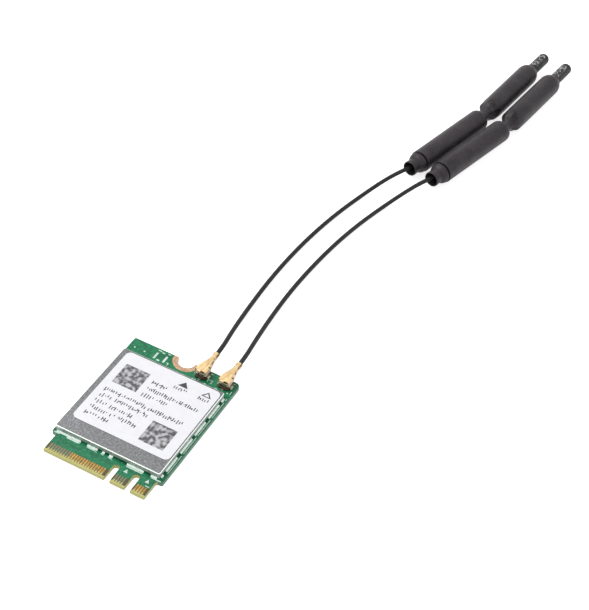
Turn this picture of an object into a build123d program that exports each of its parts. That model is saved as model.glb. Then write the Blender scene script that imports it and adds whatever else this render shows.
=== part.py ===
from build123d import *
import os
from math import cos, radians, sin, tan

# Laptop wifi card with its two plug-in antennas.
# Millimetres. The origin is the centre of the screw notch, on the underside of the board.
# +X runs across the board, +Y from the edge contacts to the screw notch and on to the
# antennas, +Z up from the underside to the shield can.

# Board
board_width = 22.0
board_body_length = 26.0
board_thickness = 0.8
left_corner_radius = 0.3
right_corner_radius = 0.9
shoulder_corner_radius = 0.3
tongue_shoulder = 1.075
tongue_length = 4.0
tongue_root_radius = 0.5
tongue_chamfer = 0.15
key_width = 1.2
key_depth = 3.5
key_a_side_distance = 3.3
key_spacing = 4.0

# Edge contacts, on the bare laminate past the solder mask
mask_setback = 1.9
mask_step = 0.04
contact_width = 0.35
contact_pitch = 0.5
contact_tip_gap = 0.35
contact_side_margin = 0.5
contact_key_margin = 0.2

# Plated screw notch
notch_radius = 1.75
notch_land_width = 0.95
notch_wall = 0.03

# Shield can, one folded sheet soldered to the board by its feet
can_left_gap = 0.35
can_right_gap = 0.9
can_rear_gap = 4.1
can_front_gap = 0.55
can_height = 1.25
can_sheet = 0.15
can_edge_radius = 0.18
can_corner_radius = 0.4
foot_gap_height = 0.35
front_foot_gaps = [(0.285, 1.3), (0.438, 0.9), (0.506, 0.9), (0.63, 2.8), (0.89, 1.4)]
side_foot_gaps = [(0.07, 0.85), (0.28, 1.05), (0.5, 0.85), (0.71, 1.05), (0.92, 0.85)]
solder_reach = 0.3
solder_height = 0.22

# Label on the can
label_left_gap = 1.2
label_right_gap = 0.3
label_rear_gap = 0.45
label_front_gap = 3.05
label_thickness = 0.1
label_corner_radius = 1.0

# Parts on the board under the can
radio_chip_size = 8.0
radio_chip_height = 0.85
front_end_size = 3.0
front_end_height = 0.75
crystal_length = 2.5
crystal_width = 2.0
crystal_height = 0.6
memory_length = 3.0
memory_width = 2.0
memory_height = 0.55
inductor_length = 2.0
inductor_width = 1.6
inductor_height = 0.9
capacitor_length = 1.0
capacitor_width = 0.5
capacitor_height = 0.4
capacitor_pitch = 1.6
capacitor_clearance = 0.45
capacitor_count = 5
layout_gap = 1.0

# Antenna sockets, one for each port
aux_socket_side_gap = 2.25
socket_spacing = 4.7
socket_rear_gap = 1.5
socket_base_size = 2.3
socket_base_height = 0.35
socket_base_chamfer = 0.3
socket_ring_radius = 0.78
socket_ring_wall = 0.12
socket_ring_top = 1.25
socket_tab_width = 0.9
socket_tab_reach = 0.3
socket_tab_sheet = 0.1
socket_pin_radius = 0.2
socket_pin_height = 1.0
socket_pin_tip_radius = 0.12
socket_pin_tail_width = 0.5
socket_pin_tail_height = 0.12

# Plug shell, stamped from one sheet and folded over the cable
plug_sheet = 0.15
plug_fold_radius = 0.12
plug_fit = 0.02
plug_height = 1.8
plug_lift = 0.5
plug_cover_half_width = 0.95
plug_ear_length = 1.5
plug_ear_front = 0.8
plug_ear_drop = 1.0
plug_lip_drop = 0.4
plug_slot_offset = 0.33
plug_slot_width = 0.75
plug_slot_height = 0.15
plug_front_opening = 1.25
plug_rear_opening = 0.8
plug_taper_start = 1.0
plug_taper_end = 3.4
plug_neck_half_width = 1.02
plug_neck_corner = 0.3
plug_crimp_length = 1.5
round_section_flat = 0.0015
plug_crimp_waist = 0.16
plug_crimp_groove = 0.05
plug_seam = 0.12

# Plug insides
plug_insulator_radius = 0.6
plug_insulator_lift = 0.1
plug_contact_radius = 0.34
plug_contact_fit = 0.01
plug_contact_cap = 0.12
plug_arm_width = 0.3
plug_wire_radius = 0.12
plug_wire_bend = 2.1

# Coaxial cables
cable_diameter = 0.87
cable_height = 0.9
cable_fit = 0.015

# Antennas, from the mouth: collar, shoulder, a fat section, the bent neck, a second fat
# section and a thin tail
sleeve_radius = 2.35
sleeve_wall = 0.22
collar_radius = 1.55
collar_length = 1.75
mouth_flare = 0.08
shoulder_length = 1.4
shoulder_radius = 2.24
end_groove_length = 0.12
end_groove_depth = 0.09
end_ring_length = 0.2
lower_section_length = 19.8
lower_neck_taper = 1.5
neck_radius = 1.27
neck_lead = 0.32
neck_bend_radius = 4.5
neck_straight = 1.4
upper_neck_taper = 1.75
upper_section_length = 16.45
tail_root_taper = 2.5
tail_root_lip = 0.1
tail_radius = 1.29
tail_length = 6.7
tail_tip_radius = 0.9
tail_fit = 0.02
element_fit = 0.05
element_wall = 0.2
element_end_gap = 0.3
element_disc = 0.6
core_radius = 0.4
core_fit = 0.02
core_end_gap = 2.0

# Places of the antennas on the floor: X from the aux socket's axis to the mouth, Y of the
# mouth, and the heading of each section in degrees from +Y towards +X
main_mouth = (2.34, 69.05)
main_heading = 13.3
main_tip_heading = 6.4
aux_mouth = (7.58, 68.35)
aux_heading = 14.0
aux_tip_heading = 6.8

# Values worked out from the sizes above
half_board = board_width / 2
half_tongue = half_board - tongue_shoulder
key_a_centre = half_tongue - key_a_side_distance
key_e_centre = key_a_centre - key_spacing
aux_socket_x = half_board - aux_socket_side_gap
main_socket_x = aux_socket_x - socket_spacing
shoulder_y = -board_body_length
tip_y = -(board_body_length + tongue_length)
board_top = board_thickness
mask_edge_y = tip_y + mask_setback
can_x0 = -half_board + can_left_gap
can_x1 = half_board - can_right_gap
can_y0 = shoulder_y + can_front_gap
can_y1 = -can_rear_gap
can_top = board_top + can_height
can_centre_x = (can_x0 + can_x1) / 2
can_centre_y = (can_y0 + can_y1) / 2
plug_cover_bottom = plug_height - plug_sheet
barrel_inner = socket_ring_radius + plug_fit
barrel_outer = barrel_inner + plug_sheet
crimp_bore = cable_diameter / 2 + cable_fit
crimp_outer = crimp_bore + plug_sheet
plug_end = plug_taper_end + plug_crimp_length
cable_start_y = plug_taper_end - socket_rear_gap
cable_exit_z = board_top + cable_height
shoulder_end = collar_length + shoulder_length
groove_middle = shoulder_end + end_groove_length
lower_section_start = groove_middle + end_ring_length
lower_section_end = lower_section_start + lower_section_length
neck_start = lower_section_end + lower_neck_taper
neck_position = neck_start + neck_lead
upper_section_start = neck_position + neck_straight + upper_neck_taper
upper_section_end = upper_section_start + upper_section_length
tail_root = upper_section_end + tail_root_taper
tail_tip = tail_root + tail_length
bend_share = 0.45
same_place = 1e-6

# Routes of the two cables between plug and antenna, chosen by hand, with X from the axis of
# the aux socket
main_route_middle = [
    (-4.7, 5.2, 1.7),
    (-5.6, 10.6, 1.1),
    (-6.35, 17.2, 0.46),
    (-6.75, 26.0, 0.44),
    (-6.6, 34.5, 0.44),
    (-5.9, 43.0, 0.44),
    (-4.65, 51.2, 0.44),
    (-2.85, 58.6, 0.6),
    (-0.75, 64.0, 1.55),
    (1.2, 67.5, 2.3),
]
aux_route_middle = [
    (0.0, 5.0, 1.7),
    (-0.75, 10.2, 1.15),
    (-1.55, 16.8, 0.46),
    (-1.9, 25.2, 0.44),
    (-1.65, 33.4, 0.44),
    (-0.9, 42.0, 0.44),
    (0.4, 50.0, 0.44),
    (2.25, 57.4, 0.55),
    (4.35, 62.8, 1.4),
    (6.3, 66.7, 2.25),
]


# Shared helpers

def block(x0, x1, y0, y1, z0, z1):
    """A box between two corners."""
    middle = Pos((x0 + x1) / 2, (y0 + y1) / 2, (z0 + z1) / 2)
    return middle * Box(x1 - x0, y1 - y0, z1 - z0)


def post(radius, z0, z1):
    """An upright cylinder on the Z axis between two heights."""
    return Pos(0, 0, (z0 + z1) / 2) * Cylinder(radius, z1 - z0)


def rod(radius, y0, y1, z=0.0):
    """A cylinder along Y between two stations."""
    return Pos(0, (y0 + y1) / 2, z) * Rot(90, 0, 0) * Cylinder(radius, y1 - y0)


def spread(first, last, pitch):
    """Places from first down to last, a pitch apart."""
    count = int((first - last) / pitch + same_place) + 1
    return [first - i * pitch for i in range(count)]


# Board and what is plated on it

def board_outline():
    """Flat outline with the tongue, its two key slots and the screw notch."""
    body = Pos(0, shoulder_y / 2) * Rectangle(board_width, board_body_length)
    tongue = Pos(0, shoulder_y - tongue_length / 2) * Rectangle(2 * half_tongue, tongue_length)
    outline = body + tongue
    corners = outline.vertices()
    rear = corners.group_by(Axis.Y)[-1].sort_by(Axis.X)
    front = corners.filter_by(lambda v: abs(v.Y - shoulder_y) < same_place)
    roots = front.filter_by(lambda v: abs(v.X) < half_tongue + same_place)
    shoulders = front.filter_by(lambda v: abs(v.X) > half_tongue + same_place)
    outline = fillet(rear[0], left_corner_radius)
    outline = fillet(nearest_vertex(outline, rear[1]), right_corner_radius)
    for v in roots:
        outline = fillet(nearest_vertex(outline, v), tongue_root_radius)
    for v in shoulders:
        outline = fillet(nearest_vertex(outline, v), shoulder_corner_radius)
    for centre in (key_a_centre, key_e_centre):
        outline -= key_slot(centre)
    return outline - Circle(notch_radius + notch_wall)


def nearest_vertex(shape, place):
    """The vertex of a shape that lies nearest to another vertex."""
    return min(shape.vertices(), key=lambda v: abs(v.X - place.X) + abs(v.Y - place.Y))


def key_slot(centre):
    """One key slot, open at the tip and round at its inner end."""
    straight = key_depth - key_width / 2
    slot = Pos(centre, tip_y + straight / 2) * Rectangle(key_width, straight)
    return slot + Pos(centre, tip_y + straight) * Circle(key_width / 2)


def circuit_board():
    """Board with the masked part at full thickness and a bare, chamfered tongue tip."""
    board = extrude(board_outline(), board_thickness)
    for z0, z1 in ((0, mask_step), (board_top - mask_step, board_top)):
        board -= block(-half_board, half_board, tip_y, mask_edge_y, z0, z1)
        board -= post(notch_radius + notch_land_width, z0, z1)
    tip_edges = board.edges().filter_by(Axis.X).group_by(Axis.Y)[0]
    return chamfer(tip_edges, tongue_chamfer)


def notch_plating():
    """Copper in the screw notch: a land on each face and the wall between them."""
    land = notch_radius + notch_land_width
    metal = post(land, 0, mask_step) + post(land, board_top - mask_step, board_top)
    metal += post(notch_radius + notch_wall, 0, board_top)
    metal -= post(notch_radius, 0, board_top)
    return metal & block(-land, land, -land, 0, 0, board_top)


def clear_of_keys(x):
    """True where a contact at x stays clear of both key slots."""
    reach = key_width / 2 + contact_width / 2 + contact_key_margin
    return all(abs(x - centre) > reach - same_place for centre in (key_a_centre, key_e_centre))


def edge_contacts(first_x, z0):
    """One row of contacts on the tongue, left out where the key slots are."""
    last_x = -half_tongue + contact_side_margin + contact_width / 2
    y0 = tip_y + contact_tip_gap
    row = []
    for x in spread(first_x, last_x, contact_pitch):
        if clear_of_keys(x):
            row.append(block(x - contact_width / 2, x + contact_width / 2, y0, mask_edge_y,
                             z0, z0 + mask_step))
    return Compound(row)


def edge_contacts_top():
    """Contacts on the side that carries the can."""
    first = half_tongue - contact_side_margin - contact_width / 2
    return edge_contacts(first, board_top - mask_step)


def edge_contacts_bottom():
    """Contacts on the underside, half a pitch aside from the top ones."""
    first = half_tongue - contact_side_margin - contact_width / 2 - contact_pitch / 2
    return edge_contacts(first, 0)


# Shield can and label

def rounded_block(x0, x1, y0, y1, z0, z1, corner, edge):
    """A block with round upright corners and a round top edge."""
    box = fillet(block(x0, x1, y0, y1, z0, z1).edges().filter_by(Axis.Z), corner)
    return fillet(box.edges().group_by(Axis.Z)[-1], edge)


def along(start, stop, gaps):
    """Stretches of a side, from how far along it each middle is and how long each one is."""
    places = [(start + share * (stop - start), length) for share, length in gaps]
    return [(middle - length / 2, middle + length / 2) for middle, length in places]


def stretches_between(start, stop, gaps):
    """What is left of a side between its gaps."""
    edges = [start] + [value for gap in gaps for value in gap] + [stop]
    return list(zip(edges[0::2], edges[1::2]))


def foot_gaps_x():
    """Gaps between feet along the front and rear walls."""
    return along(can_x0, can_x1, front_foot_gaps)


def foot_gaps_y():
    """Gaps between feet along the side walls."""
    return along(can_y0, can_y1, side_foot_gaps)


def shield_can():
    """Drawn can, open below, with gaps between its soldered feet."""
    s = can_sheet
    can = rounded_block(can_x0, can_x1, can_y0, can_y1, board_top, can_top,
                        can_corner_radius, can_edge_radius)
    can -= rounded_block(can_x0 + s, can_x1 - s, can_y0 + s, can_y1 - s, board_top, can_top - s,
                         can_corner_radius - s, can_edge_radius - s)
    gap_top = board_top + foot_gap_height
    for x0, x1 in foot_gaps_x():
        can -= block(x0, x1, can_y0, can_y0 + s, board_top, gap_top)
        can -= block(x0, x1, can_y1 - s, can_y1, board_top, gap_top)
    for y0, y1 in foot_gaps_y():
        can -= block(can_x0, can_x0 + s, y0, y1, board_top, gap_top)
        can -= block(can_x1 - s, can_x1, y0, y1, board_top, gap_top)
    return can


def solder_bead(length):
    """A fillet of solder with its foot along X and its back against a wall at y = 0."""
    half = length / 2
    with_slope = Polyline((0, 0), (-solder_reach, 0), (0, solder_height), (0, 0))
    profile = make_face(Plane.YZ.offset(-half) * with_slope)
    return extrude(profile, length, dir=(1, 0, 0))


def shield_solder():
    """Solder fillets outside the feet of the can."""
    beads = []
    inset = can_corner_radius
    for x0, x1 in stretches_between(can_x0 + inset, can_x1 - inset, foot_gaps_x()):
        middle = (x0 + x1) / 2
        beads.append(Pos(middle, can_y0, board_top) * solder_bead(x1 - x0))
        beads.append(Pos(middle, can_y1, board_top) * Rot(0, 0, 180) * solder_bead(x1 - x0))
    for y0, y1 in stretches_between(can_y0 + inset, can_y1 - inset, foot_gaps_y()):
        middle = (y0 + y1) / 2
        beads.append(Pos(can_x0, middle, board_top) * Rot(0, 0, -90) * solder_bead(y1 - y0))
        beads.append(Pos(can_x1, middle, board_top) * Rot(0, 0, 90) * solder_bead(y1 - y0))
    return Compound(beads)


def label():
    """Paper label with round corners, stuck on the can."""
    x0 = can_x0 + label_left_gap
    x1 = can_x1 - label_right_gap
    y0 = can_y0 + label_front_gap
    y1 = can_y1 - label_rear_gap
    face = RectangleRounded(x1 - x0, y1 - y0, label_corner_radius)
    return Pos((x0 + x1) / 2, (y0 + y1) / 2, can_top) * extrude(face, label_thickness)


# Parts under the can

def on_board(x, y, length, width, height):
    """A flat component standing on the board."""
    return block(x - length / 2, x + length / 2, y - width / 2, y + width / 2,
                 board_top, board_top + height)


def radio_chip():
    """The radio, in the middle of the can."""
    return on_board(can_centre_x, can_centre_y, radio_chip_size, radio_chip_size, radio_chip_height)


def front_end_modules():
    """One front-end module for each antenna port, between the radio and the ports."""
    y = can_centre_y + radio_chip_size / 2 + layout_gap + front_end_size / 2
    aux_x = can_x1 - can_sheet - layout_gap - front_end_size / 2
    modules = []
    for x in (aux_x - socket_spacing, aux_x):
        modules.append(on_board(x, y, front_end_size, front_end_size, front_end_height))
    return Compound(modules)


def crystal():
    """Clock crystal left of the radio."""
    x = can_centre_x - radio_chip_size / 2 - layout_gap - crystal_length / 2
    return on_board(x, can_centre_y, crystal_length, crystal_width, crystal_height)


def memory_chip():
    """Settings memory in front of the radio."""
    y = can_centre_y - radio_chip_size / 2 - layout_gap - memory_width / 2
    return on_board(can_centre_x - memory_length, y, memory_length, memory_width, memory_height)


def power_inductor():
    """Inductor of the supply converter, in front of the radio."""
    y = can_centre_y - radio_chip_size / 2 - layout_gap - inductor_width / 2
    return on_board(can_centre_x + inductor_length, y, inductor_length, inductor_width, inductor_height)


def capacitors():
    """Chip capacitors in a row on each side of the radio."""
    reach = radio_chip_size / 2 + capacitor_clearance + capacitor_width / 2
    row = []
    for i in range(capacitor_count):
        y = can_centre_y + (i - (capacitor_count - 1) / 2) * capacitor_pitch
        row.append(on_board(can_centre_x + reach, y, capacitor_width, capacitor_length, capacitor_height))
        row.append(on_board(can_centre_x - reach, y, capacitor_width, capacitor_length, capacitor_height))
    return Compound(row)


# Antenna sockets. Each is modelled about its own axis, on the board's top, plug side at +Y.

def at_socket(port_x):
    """Place of a socket's axis on the board."""
    return Pos(port_x, -socket_rear_gap, board_top)


def socket_base():
    """Moulded base with a hole for the pin and a channel for the pin's tail."""
    half = socket_base_size / 2
    base = block(-half, half, -half, half, 0, socket_base_height)
    base = chamfer(base.edges().filter_by(Axis.Z), socket_base_chamfer)
    base -= post(socket_pin_radius, 0, socket_base_height)
    tail = socket_pin_tail_width / 2
    return base - block(-tail, tail, -half, 0, 0, socket_pin_tail_height)


def socket_shell():
    """Ring that the plug snaps over, with a solder tab down each side of the base."""
    t = socket_tab_sheet
    half = socket_base_size / 2
    w = socket_tab_width / 2
    shell = post(socket_ring_radius, socket_base_height, socket_ring_top)
    for side in (-1, 1):
        x_out = side * (half + t)
        shell += ordered_block(0, x_out, -w, w, socket_base_height, socket_base_height + t)
        shell += ordered_block(side * half, x_out, -w, w, 0, socket_base_height + t)
        shell += ordered_block(side * half, side * (half + socket_tab_reach), -w, w, 0, t)
    return shell - post(socket_ring_radius - socket_ring_wall, socket_base_height, socket_ring_top)


def ordered_block(xa, xb, y0, y1, z0, z1):
    """A box whose two X limits may come in either order."""
    return block(min(xa, xb), max(xa, xb), y0, y1, z0, z1)


def socket_pin():
    """Centre pin with a round tip, and its tail out to the solder pad."""
    pin = post(socket_pin_radius, 0, socket_pin_height)
    pin = fillet(pin.edges().group_by(Axis.Z)[-1], socket_pin_tip_radius)
    w = socket_pin_tail_width / 2
    tail_end = -socket_base_size / 2 - socket_tab_reach
    return pin + block(-w, w, tail_end, 0, 0, socket_pin_tail_height)


# Plugs, in the same frame as the socket that each sits on

def plug_barrel():
    """Split ring that grips the socket, open in front and behind."""
    ring = post(barrel_outer, plug_lift, plug_cover_bottom)
    ring -= post(barrel_inner, plug_lift, plug_cover_bottom)
    half = plug_front_opening / 2
    ring -= block(-half, half, -barrel_outer, 0, plug_lift, plug_cover_bottom)
    half = plug_rear_opening / 2
    return ring - block(-half, half, 0, barrel_outer, socket_ring_top, plug_cover_bottom)


def plug_cover():
    """Flat cover over the ring, with a front lip and an ear folded down each side."""
    w = plug_cover_half_width
    t = plug_sheet
    front = -barrel_outer
    ear_back = -plug_ear_front + plug_ear_length
    corner = barrel_outer - plug_ear_front
    cover = block(-w, w, front, ear_back, plug_cover_bottom, plug_height)
    cover = chamfer(cover.edges().filter_by(Axis.Z).group_by(Axis.Y)[0], corner)
    cover = fillet(cover.edges().group_by(Axis.Z)[-1].group_by(Axis.Y)[0], plug_fold_radius)
    lip = w - corner
    cover += block(-lip, lip, front, front + t, plug_height - plug_lip_drop, plug_cover_bottom)
    for side in (-1, 1):
        cover += ordered_block(side * w, side * (w + t), -plug_ear_front, ear_back,
                               plug_height - plug_ear_drop, plug_height)
    folds = cover.edges().filter_by(Axis.Y).group_by(Axis.Z)[-1]
    outer_folds = folds.filter_by(lambda e: abs(abs(e.center().X) - w - t) < same_place)
    cover = fillet(outer_folds, plug_fold_radius)
    slot_x = plug_slot_offset
    return cover - block(slot_x - plug_slot_width / 2, slot_x + plug_slot_width / 2,
                         front, front + 2 * t, plug_height - 2 * plug_slot_height,
                         plug_height - plug_slot_height)


def taper_section(y, half_width, bottom, top, corner, inset):
    """Section of the tapered stretch: a rectangle with round corners, inset by the sheet."""
    width = 2 * (half_width - inset)
    height = top - bottom - 2 * inset
    plane = Plane(origin=(0, y, (top + bottom) / 2), x_dir=(1, 0, 0), z_dir=(0, 1, 0))
    return plane * RectangleRounded(width, height, corner - inset)


def plug_taper():
    """Hollow stretch that narrows from the flat cover to the round crimp."""
    round_bottom = cable_height - crimp_outer
    round_top = cable_height + crimp_outer
    round_corner = crimp_outer - round_section_flat
    ends = (
        (plug_taper_start, plug_neck_half_width, plug_lift, plug_height, plug_neck_corner),
        (plug_taper_end, crimp_outer, round_bottom, round_top, round_corner),
    )
    outer = loft([taper_section(*end, 0) for end in ends])
    inner = loft([taper_section(*end, plug_sheet) for end in ends])
    return outer - inner


def plug_crimp():
    """Two crimped rings round the cable with a waist between them and a seam below."""
    middle = (plug_taper_end + plug_end) / 2
    crimp = rod(crimp_outer, plug_taper_end, plug_end, cable_height)
    y0 = middle - plug_crimp_waist
    y1 = middle + plug_crimp_waist
    waist = rod(crimp_outer, y0, y1, cable_height)
    waist -= rod(crimp_outer - plug_crimp_groove, y0, y1, cable_height)
    return crimp - waist - rod(crimp_bore, plug_taper_end, plug_end, cable_height)


def plug_shell():
    """The whole stamped shell: ring, cover, taper and crimp in one sheet."""
    shell = plug_barrel() + plug_cover()
    taper_gap = plug_taper_start - (-plug_ear_front + plug_ear_length)
    neck = plug_neck_half_width - plug_sheet
    shell += block(-neck, neck, plug_taper_start - taper_gap - plug_sheet,
                   plug_taper_start + plug_sheet, plug_cover_bottom, plug_height)
    shell += plug_taper() + plug_crimp()
    seam = plug_seam / 2
    return shell - block(-seam, seam, plug_taper_start, plug_end, 0, cable_height)


def plug_insulator():
    """Moulded insert inside the ring, with a hole for the contact."""
    insert = post(barrel_inner, socket_ring_top + plug_fit, plug_cover_bottom)
    boss_bottom = socket_base_height + plug_insulator_lift
    insert += post(plug_insulator_radius, boss_bottom, socket_ring_top + plug_fit)
    insert -= post(plug_contact_radius, boss_bottom, socket_ring_top + plug_contact_cap)
    arm = plug_arm_width / 2
    return insert - block(-arm, arm, 0, barrel_inner, socket_ring_top + plug_fit,
                          socket_ring_top + plug_contact_cap)


def plug_contact():
    """Socket contact round the pin, with its arm bent down to the cable's core."""
    top = socket_ring_top + plug_contact_cap
    bottom = socket_base_height + plug_insulator_lift
    contact = post(plug_contact_radius, bottom, top)
    contact -= post(socket_pin_radius + plug_contact_fit, bottom, top - plug_contact_cap)
    w = plug_arm_width / 2
    contact += block(-w, w, 0, plug_wire_bend, top - plug_contact_cap + plug_fit, top)
    contact += block(-w, w, plug_wire_bend - plug_contact_cap, plug_wire_bend,
                     cable_height - plug_wire_radius, top)
    return contact + rod(plug_wire_radius, plug_wire_bend, plug_taper_end, cable_height)


# Antennas. Each is modelled along +Y from its mouth, on its own axis, with the part past
# the neck turned to the left, and is then laid on the floor.

def bend_angle(heading, tip_heading):
    """Turn of the axis at the neck, in degrees."""
    return heading - tip_heading


def bend_reach(turn):
    """How far the neck's arc reaches each way from the point where the axes meet."""
    return neck_bend_radius * tan(radians(turn) / 2)


def past_neck(turn):
    """Places a shape drawn from the neck onwards on the turned axis."""
    return Pos(0, neck_position, 0) * Rot(0, 0, turn)


def bent(lower, upper, ring, turn):
    """Joins a shape before the neck, one after it, and the arc between them."""
    reach = bend_reach(turn)
    plane = Plane(origin=(0, neck_position - reach, 0), x_dir=(1, 0, 0), z_dir=(0, 1, 0))
    centre = (-neck_bend_radius, neck_position - reach, 0)
    arc = revolve(plane * ring, Axis(centre, (0, 0, 1)), turn)
    return lower + arc + past_neck(turn) * upper


def dome(full, low):
    """Arc that leaves its first point along the axis and falls to its second, nearer the axis."""
    return TangentArc(full, low, tangent=(0, low[1] - full[1]))


def turned(points, domes):
    """Solid of revolution about the Y axis from a closed outline of straight lines and domes.

    A dome stands in for the line between each pair of points that is listed in domes, from
    its larger radius to its smaller one.
    """
    path = []
    for i, here in enumerate(points):
        after = points[(i + 1) % len(points)]
        if i in domes:
            path.append(dome(max(here, after), min(here, after)))
        else:
            path.append(Line(here, after))
    return revolve(make_face(path), Axis.Y)


def sleeve_lower(reach):
    """Heat-shrink sleeve from the open mouth to the neck."""
    w = sleeve_wall
    mouth = collar_radius + mouth_flare
    stop = neck_position - reach
    outside = [
        (mouth, 0),
        (collar_radius, collar_length),
        (shoulder_radius, shoulder_end),
        (shoulder_radius - end_groove_depth, groove_middle),
        (sleeve_radius, lower_section_start),
        (sleeve_radius, lower_section_end),
        (neck_radius, neck_start),
        (neck_radius, stop),
    ]
    inside = [
        (neck_radius - w, stop),
        (neck_radius - w, neck_start - w),
        (sleeve_radius - w, lower_section_end),
        (sleeve_radius - w, lower_section_start),
        (shoulder_radius - w, shoulder_end),
        (collar_radius - w, collar_length + w),
        (mouth - w, 0),
    ]
    return turned(outside + inside, domes=(1, 5, 9, 12))


def sleeve_upper(reach):
    """Heat-shrink sleeve from the neck to where the tail leaves it, measured from the neck."""
    w = sleeve_wall
    full = upper_section_start - neck_position
    end = upper_section_end - neck_position
    root = tail_root - neck_position
    hole = tail_radius + tail_fit
    rim = hole + tail_root_lip
    outside = [
        (neck_radius, reach),
        (neck_radius, neck_straight),
        (sleeve_radius, full),
        (sleeve_radius, end),
        (rim, root),
    ]
    inside = [
        (hole, root),
        (hole, root - w),
        (sleeve_radius - w, end),
        (sleeve_radius - w, full),
        (neck_radius - w, neck_straight + w),
        (neck_radius - w, reach),
    ]
    return turned(outside + inside, domes=(1, 3, 6, 8))


def antenna_sleeve(turn):
    """One length of heat-shrink over both sections and the neck."""
    reach = bend_reach(turn)
    ring = Circle(neck_radius) - Circle(neck_radius - sleeve_wall)
    return bent(sleeve_lower(reach), sleeve_upper(reach), ring, turn)


def element_tube(y0, y1, disc_y):
    """Brass tube inside a section, with a disc at one end that centres the core."""
    radius = sleeve_radius - sleeve_wall - element_fit
    tube = rod(radius, y0, y1) - rod(radius - element_wall, y0, y1)
    disc_end = disc_y + element_disc
    disc = rod(radius, disc_y, disc_end) - rod(core_radius + core_fit, disc_y, disc_end)
    return tube + disc


def lower_tube(turn):
    """Tube of the lower section, closed at the neck."""
    disc = lower_section_end - element_disc
    return element_tube(lower_section_start, lower_section_end, disc)


def upper_tube(turn):
    """Tube of the upper section, closed at the neck."""
    start = upper_section_start - neck_position
    return past_neck(turn) * element_tube(start, upper_section_end - neck_position, start)


def antenna_core(turn):
    """Inner wire and its insulation, from the cable's end through both tubes into the tail."""
    reach = bend_reach(turn)
    lower = rod(core_radius, collar_length, neck_position - reach)
    upper = rod(core_radius, reach, tail_tip - core_end_gap - neck_position)
    return bent(lower, upper, Circle(core_radius), turn)


def antenna_tail(turn):
    """Thin closed sleeve over the end of the core."""
    start = upper_section_end + element_end_gap - neck_position
    tip = tail_tip - neck_position
    tail = rod(tail_radius, start, tip)
    tail = fillet(tail.edges().group_by(Axis.Y)[-1], tail_tip_radius)
    bore_end = tip - core_end_gap
    return past_neck(turn) * (tail - rod(core_radius + core_fit, start, bore_end))


def at_antenna(mouth, heading):
    """Place of an antenna's mouth, with its axis one radius above the floor."""
    return Pos(aux_socket_x + mouth[0], mouth[1], sleeve_radius) * Rot(0, 0, -heading)


# Cables

def cable_route(port_x, middle, mouth, heading):
    """Points of one cable, from inside its crimp to the core inside the antenna's collar."""
    start = Vector(port_x, cable_start_y, cable_exit_z)
    between = [Vector(aux_socket_x + x, y, z) for x, y, z in middle]
    seat = at_antenna(mouth, heading) * Pos(0, collar_length, 0)
    return [start] + between + [seat.position]


def bend_radii(points):
    """Arc radius at each corner: a share of its shorter run over the tangent of half the turn."""
    radii = []
    for before, here, after in zip(points, points[1:], points[2:]):
        into = here - before
        out = after - here
        half_turn = radians(into.get_angle(out)) / 2
        radii.append(bend_share * min(into.length, out.length) / tan(half_turn))
    return radii


def coax(name, points):
    """Round tube along the runs of a route and the arcs between them."""
    radii = bend_radii(points)
    path = FilletPolyline(*points, radius=radii)
    section = Plane(origin=path @ 0, z_dir=path % 0) * Circle(cable_diameter / 2)
    tube = sweep(section, path=path)
    expected = section.area * path.length
    print(f"{name}: {len(points)} points, length {path.length:.2f}, volume {tube.volume:.3f} "
          f"of {expected:.3f}, lowest {tube.bounding_box().min.Z:.3f}")
    print(f"{name} runs: " + ", ".join(f"{(b - a).length:.1f}" for a, b in zip(points, points[1:])))
    print(f"{name} radii: " + ", ".join(f"{r:.1f}" for r in radii))
    return tube


# Assembly

def board_parts():
    """Pieces of the card itself."""
    return {
        "circuit_board": circuit_board(),
        "edge_contacts_top": edge_contacts_top(),
        "edge_contacts_bottom": edge_contacts_bottom(),
        "notch_plating": notch_plating(),
        "shield_can": shield_can(),
        "shield_solder": shield_solder(),
        "label": label(),
        "radio_chip": radio_chip(),
        "front_end_modules": front_end_modules(),
        "crystal": crystal(),
        "memory_chip": memory_chip(),
        "power_inductor": power_inductor(),
        "capacitors": capacitors(),
    }


def port_parts(name, port_x):
    """Socket on the board and the plug that sits on it, for one port."""
    place = at_socket(port_x)
    return {
        f"socket_{name}_base": place * socket_base(),
        f"socket_{name}_shell": place * socket_shell(),
        f"socket_{name}_pin": place * socket_pin(),
        f"plug_{name}_shell": place * plug_shell(),
        f"plug_{name}_insulator": place * plug_insulator(),
        f"plug_{name}_contact": place * plug_contact(),
    }


def antenna_parts(name, mouth, heading, tip_heading):
    """Pieces of one antenna, laid in its place."""
    place = at_antenna(mouth, heading)
    turn = bend_angle(heading, tip_heading)
    return {
        f"antenna_{name}_sleeve": place * antenna_sleeve(turn),
        f"antenna_{name}_lower_tube": place * lower_tube(turn),
        f"antenna_{name}_upper_tube": place * upper_tube(turn),
        f"antenna_{name}_core": place * antenna_core(turn),
        f"antenna_{name}_tail": place * antenna_tail(turn),
    }


def all_parts():
    """Every named piece."""
    parts = board_parts()
    ports = (
        ("main", main_socket_x, main_route_middle, main_mouth, main_heading, main_tip_heading),
        ("aux", aux_socket_x, aux_route_middle, aux_mouth, aux_heading, aux_tip_heading),
    )
    for name, port_x, middle, mouth, heading, tip_heading in ports:
        parts.update(port_parts(name, port_x))
        parts.update(antenna_parts(name, mouth, heading, tip_heading))
        parts[f"coax_{name}"] = coax(f"coax_{name}", cable_route(port_x, middle, mouth, heading))
    return parts


os.makedirs("parts", exist_ok=True)
for part_name, solid in all_parts().items():
    export_step(solid, f"parts/{part_name}.step")
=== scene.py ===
"""Laptop wifi card with its two antennas: cables, sleeves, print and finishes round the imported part.

Lengths in the classes are millimetres in the part's own frame: X across the board, Y from the edge
contacts to the antennas, Z up. They become metres where a mesh, a curve or a node is made.
"""

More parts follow.
